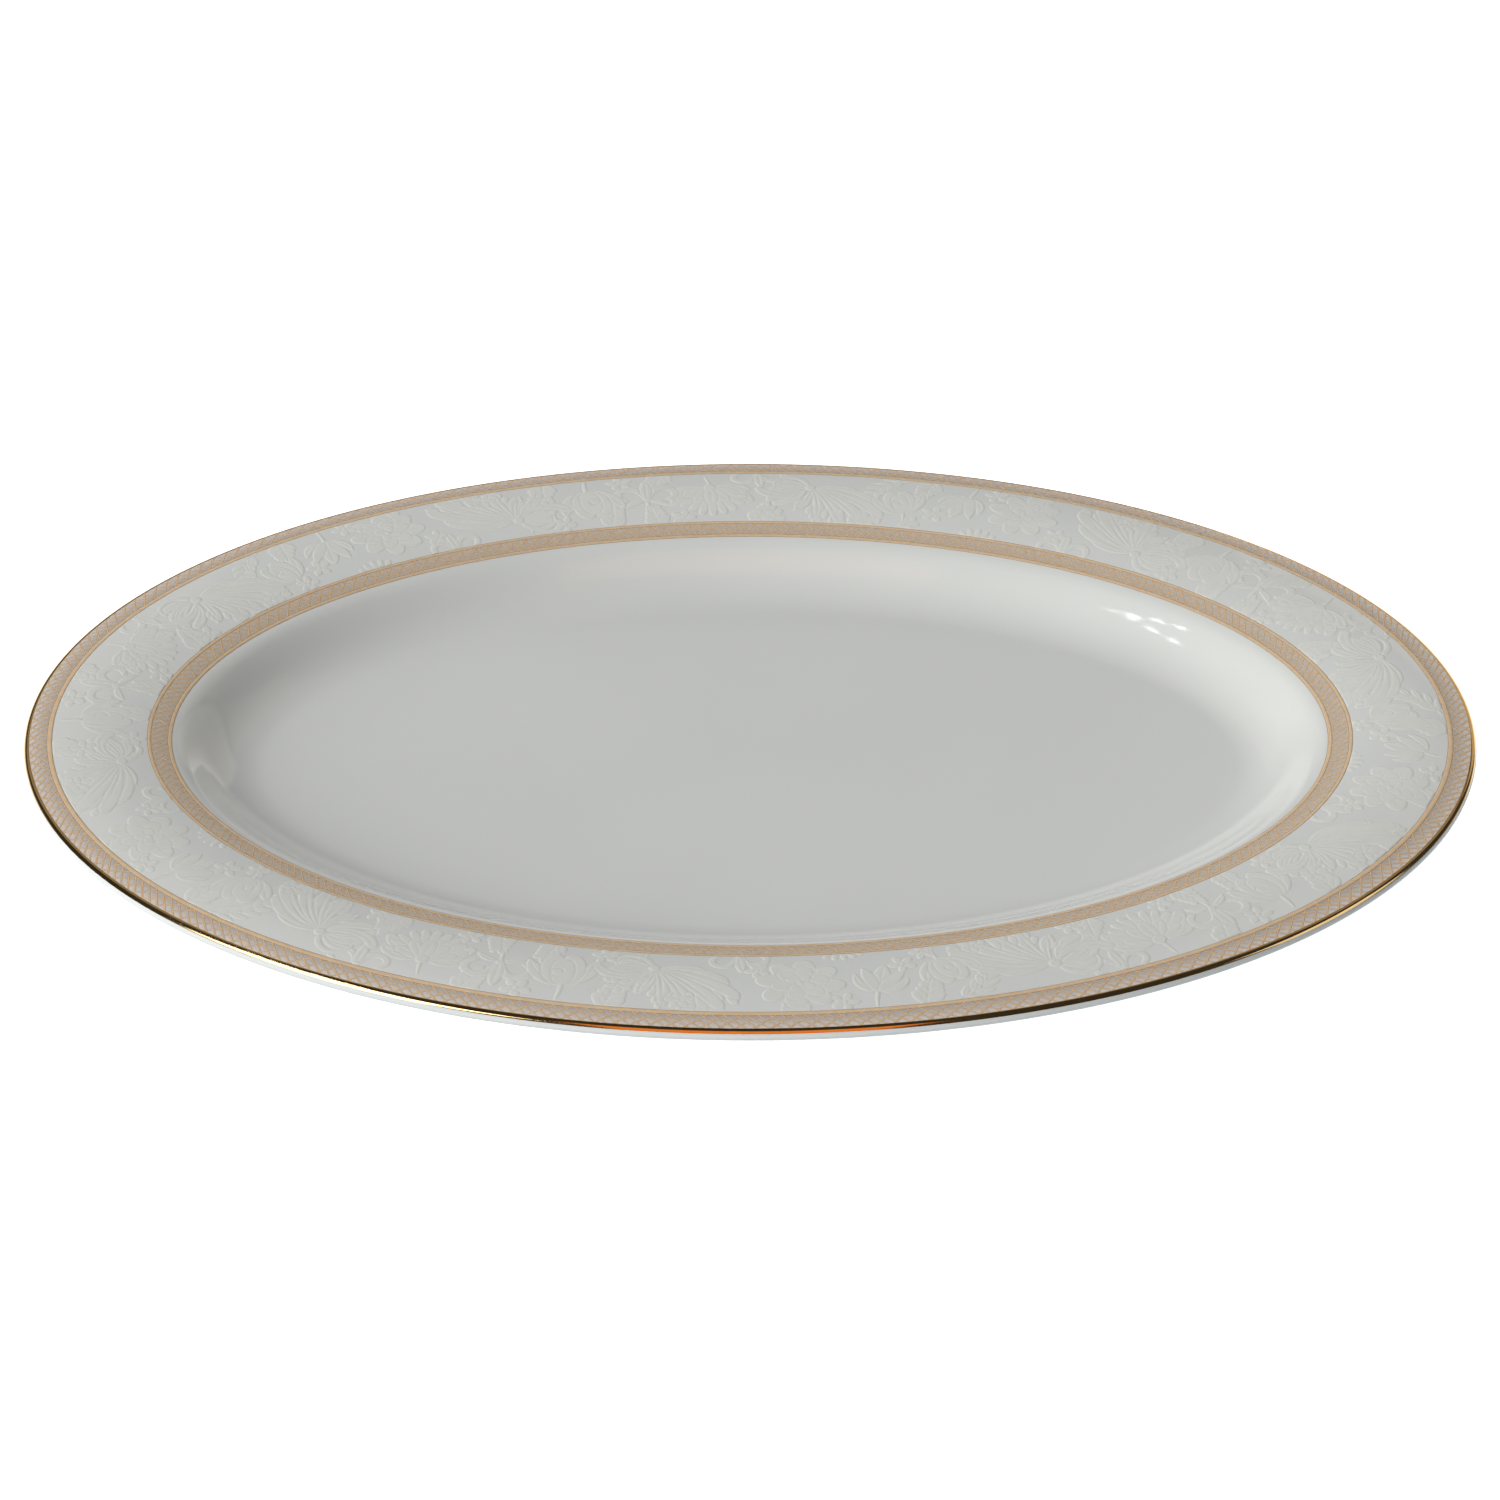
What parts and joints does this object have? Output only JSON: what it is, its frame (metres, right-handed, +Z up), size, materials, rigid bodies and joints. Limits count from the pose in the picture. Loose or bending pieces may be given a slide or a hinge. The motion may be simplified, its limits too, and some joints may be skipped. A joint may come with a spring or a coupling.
{
  "type": "oval serving platter",
  "caption": "Oval porcelain serving platter with a shallow coved well, a wide rim with raised damask and lattice bands, a gilt lip and a foot ring.",
  "frame": {"origin": "centre of the face that the foot ring stands on", "axes": "+X along the platter's length, +Y across it, +Z up out of the well"},
  "size_m": [0.36, 0.259, 0.0204],
  "materials": {
    "porcelain": "unglazed fired porcelain, matt, seen only on the foot ring",
    "glaze": "clear high-gloss glaze over white porcelain",
    "bright_gold": "burnished bright gold, mirror-like",
    "matt_gold": "satin gold print",
    "band_tint": "grey-mauve ground print under the lattice, satin",
    "relief_enamel": "raised warm white enamel, satin"
  },
  "bodies": {
    "root": {"porcelain_body": "porcelain", "upper_glaze": "glaze", "base_glaze": "glaze", "gilt_edge": "bright_gold", "outer_lattice_ground": "band_tint", "outer_lattice": "matt_gold", "outer_border_line": "matt_gold", "damask_relief": "relief_enamel", "middle_border_line": "matt_gold", "inner_lattice_ground": "band_tint", "inner_lattice": "matt_gold", "well_border_line": "matt_gold"}
  },
  "joints": []
}
